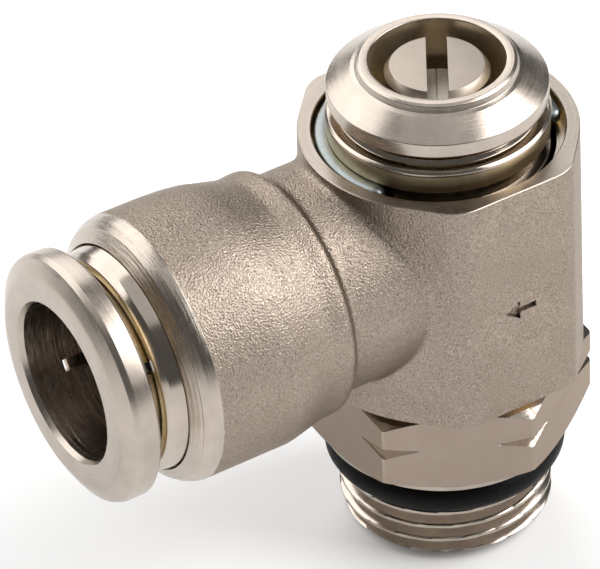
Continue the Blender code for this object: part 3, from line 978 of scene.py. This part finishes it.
def mark_machined(mesh):
    """Faces cut by the lathe take the turned materials: 1 about the stem, 2 about the tube."""
    count = len(mesh.polygons)
    centres = np.empty(count * 3)
    mesh.polygons.foreach_get("center", centres)
    x, y, z = centres.reshape(-1, 3).T / MM
    from_stem = np.hypot(x, y)
    from_tube = np.hypot(y, z - TUBE_AXIS)
    index = np.zeros(count, np.int32)
    faced = (z > BODY_TOP - RIM_CHAMFER_DEPTH) | (z < BODY_LOW + 0.02)
    index[(from_stem < RECESS_RADIUS + 0.05) | (faced & (from_stem < FACING_RADIUS))] = 1
    index[(x < -9.0) & (from_tube < TUBE_BORE_RADIUS + 0.2)] = 2
    index[(x < POCKET_END + 0.1) & (from_tube < POCKET_RADIUS + 0.1)] = 2
    normals = np.empty(count * 3)
    mesh.polygons.foreach_get("normal", normals)
    lip = (x < MOUTH + LIP_LENGTH - 0.03) & (np.abs(normals.reshape(-1, 3)[:, 0]) > 0.03)
    index[lip] = 2
    mesh.polygons.foreach_set("material_index", index)


def make_body(forged, turned_z, turned_x):
    """Forged elbow body, machined about the stem and about the tube."""
    body = forging_blank()
    soften(body)
    cut(body, stem_side_cutter())
    cut(body, rim_cutter())
    cut(body, tube_side_cutter())
    cut(body, arrow_cutter())
    body.data.materials.clear()
    for material in (forged, turned_z, turned_x):
        body.data.materials.append(material)
    mark_machined(body.data)
    body.name = "forged_body"
    place(body, "elbow", "banjo_body", angle=38.0)


# ---------------------------------------------------------------- cartridge


def make_collet(bright, brass, bore):
    """Release collet: flange and sleeve in one piece, slit into four jaws."""
    face = COLLET_FACE
    back = -30.64
    outline = [
        (6.25, face + 0.42, 0.05),
        (6.46, face, 0.06),
        (8.35, face, 1.4),
        (9.62, face + 0.72, 0.2),
        (9.8, face + 1.15, 0.1),
        (9.78, back - 0.25, 0.1),
        (9.52, back, 0.08),
        (7.3, back, 0.2),
        (7.3, -28.0, 0.1),
        (7.9, -28.0, 0.06),
        (7.9, -27.2, 0.1),
        (7.0, -26.0, 0.1),
        (6.45, -26.0, 0.06),
        (5.95, -26.4, 0.05),
        (6.25, -26.9, 0.05),
    ]
    collet = turned("collet_turned", outline, [bright, brass, bore])
    slot_size = (JAW_SLOT_WIDE, 24.0, 6.0)
    slot_middle = (0.0, 0.0, face + JAW_SLOT_START + slot_size[2] / 2.0)
    for turn in (JAW_SLOT_TURN, JAW_SLOT_TURN + math.pi / 2.0):
        cut(collet, box("jaw_cutter", slot_size, slot_middle, turn))
    for polygon in collet.data.polygons:
        radius = polygon.center.xy.length / MM
        along = polygon.center.z / MM
        if along > back - 0.02 and radius > 7.2:
            polygon.material_index = 1
        if along > face + 0.4 and radius < 6.4:
            polygon.material_index = 2
    place(collet, "collet", "release_collet", on_tube=True)


def make_cap_ring(bright):
    """Retaining ring in the barrel's mouth, round the collet."""
    face = CAP_RING_FACE
    outline = [
        (7.6, face, 0.08),
        (8.25, face, 0.15),
        (8.62, face + 0.55, 0.3),
        (8.83, face + 1.5, 0.1),
        (8.83, face + 1.8, 0.05),
        (8.6, face + 2.0, 0.05),
        (8.6, -24.5, 0.05),
        (8.2, -24.5, 0.05),
        (8.2, -27.9, 0.1),
        (7.6, -28.3, 0.08),
    ]
    ring_piece = turned("cap_ring_turned", outline, [bright])
    place(ring_piece, "elbow", "collet_cap_ring", on_tube=True)


def make_washer(steel):
    """Plain washer between the jaws and the tube's seal."""
    outline = [(6.5, -24.2, 0.1), (8.6, -24.2, 0.1), (8.6, -23.0, 0.1), (6.5, -23.0, 0.1)]
    washer = turned("seal_washer_turned", outline, [steel], COARSE_ROUND)
    place(washer, "elbow", "seal_washer", on_tube=True)


# ---------------------------------------------------------------- studio


def make_floor():
    """A large pale sheet just under the part."""
    floor_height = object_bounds()[0].z - FLOOR_GAP
    bm = bmesh.new()
    bmesh.ops.create_grid(bm, x_segments=2, y_segments=2, size=6.0)
    mesh = bpy.data.meshes.new("floor")
    bm.to_mesh(mesh)
    bm.free()
    mesh.materials.append(floor_material())
    floor = bpy.data.objects.new("floor", mesh)
    floor.location.z = floor_height
    bpy.context.scene.collection.objects.link(floor)


def make_softbox(name, azimuth, elevation, size, radiance):
    """An area light that faces the object from a direction given as for a camera, in degrees."""
    data = bpy.data.lights.new(name, "AREA")
    data.shape = "RECTANGLE"
    data.size, data.size_y = size
    data.energy = radiance * math.pi * size[0] * size[1]
    light = bpy.data.objects.new(name, data)
    turn = math.radians(azimuth)
    rise = math.radians(elevation)
    level = math.cos(rise)
    towards = Vector((math.sin(turn) * level, -math.cos(turn) * level, math.sin(rise)))
    light.location = Vector(LIGHT_TARGET) + towards * SOFTBOX_DISTANCE
    light.rotation_euler = towards.to_track_quat("Z", "Y").to_euler()
    bpy.context.scene.collection.objects.link(light)


def make_world():
    """Weak even light from all round."""
    world = bpy.data.worlds.new("studio")
    world.use_nodes = True
    background = world.node_tree.nodes["Background"]
    background.inputs["Color"].default_value = (1.0, 0.995, 0.985, 1.0)
    background.inputs["Strength"].default_value = 0.14
    bpy.context.scene.world = world


def make_camera():
    """The photograph's own viewpoint."""
    data = bpy.data.cameras.new("camera")
    data.lens = CAMERA_LENS
    data.sensor_width = 36.0
    data.clip_start = 0.01
    data.clip_end = 20.0
    camera = bpy.data.objects.new("camera", data)
    turn = Matrix.Rotation(math.radians(CAMERA_AZIMUTH), 4, "Z")
    tilt = Matrix.Rotation(math.radians(90.0 - CAMERA_ELEVATION), 4, "X")
    roll = Matrix.Rotation(math.radians(CAMERA_ROLL), 4, "Z")
    camera.matrix_world = Matrix.Translation(Vector(CAMERA_PLACE) * MM) @ turn @ tilt @ roll
    bpy.context.scene.collection.objects.link(camera)
    bpy.context.scene.camera = camera


def make_studio():
    """White sheet, large softboxes behind the part and to its right, and a weak one above it."""
    bpy.context.scene.view_settings.view_transform = "Standard"
    make_world()
    make_floor()
    make_softbox("key_back_left", -165.5, 40.0, (2.55, 1.4), 2.5)
    make_softbox("key_right", 58.0, 40.0, (1.35, 1.25), 5.2)
    make_softbox("top", -45.0, 86.0, (1.2, 1.2), 0.7)
    make_camera()


# ---------------------------------------------------------------- assembly

rubber = black_rubber()
worn_brass = rgb(0.70, 0.59, 0.40)

stem_top = turned_nickel("stem_top_nickel", brass_and_reflection_below=0.5)
wall = thin_plated_brass("wall_brass", rgb(0.55, 0.45, 0.27), worn_brass)
make_stem(turned_nickel("bright_nickel"), drawn_nickel(), stem_top, wall)
make_seals(rubber)
make_check_lip(rubber)
make_clip(zinc_steel())

cap_nickel = turned_nickel("cap_nickel", roughness=0.24, brass_and_reflection_below=0.4)
make_cap(cap_nickel, thin_plated_brass("bore_brass", rgb(0.66, 0.55, 0.38), rgb(0.84, 0.72, 0.54)))
screw_nickel = turned_nickel("screw_nickel", "Z", 0.34, 0.003 * MM, BRIGHT_ON_SCREW)
make_screw(screw_nickel, slot_floor_painted_light())

about_stem = turned_nickel("turned_about_stem", "Z", 0.28, colour=BRIGHT_ON_BODY, brass_and_reflection_below=0.35)
about_tube = turned_nickel("turned_about_tube", "X", 0.22, 0.05 * MM)
make_body(forged_nickel(), about_stem, about_tube)

collet_nickel = turned_nickel("collet_nickel", "Z", 0.28, 0.01 * MM, brass_and_reflection_below=0.45)
sleeve_brass = thin_plated_brass("sleeve_brass", rgb(0.58, 0.47, 0.29), worn_brass)
collet_bore = turned_nickel("collet_bore", "Z", 0.24, 0.04 * MM, BRIGHT_IN_BORE)
make_collet(collet_nickel, sleeve_brass, collet_bore)
make_cap_ring(turned_nickel("cap_ring_nickel", brass_and_reflection_below=0.3))
make_washer(plain_steel())
make_studio()
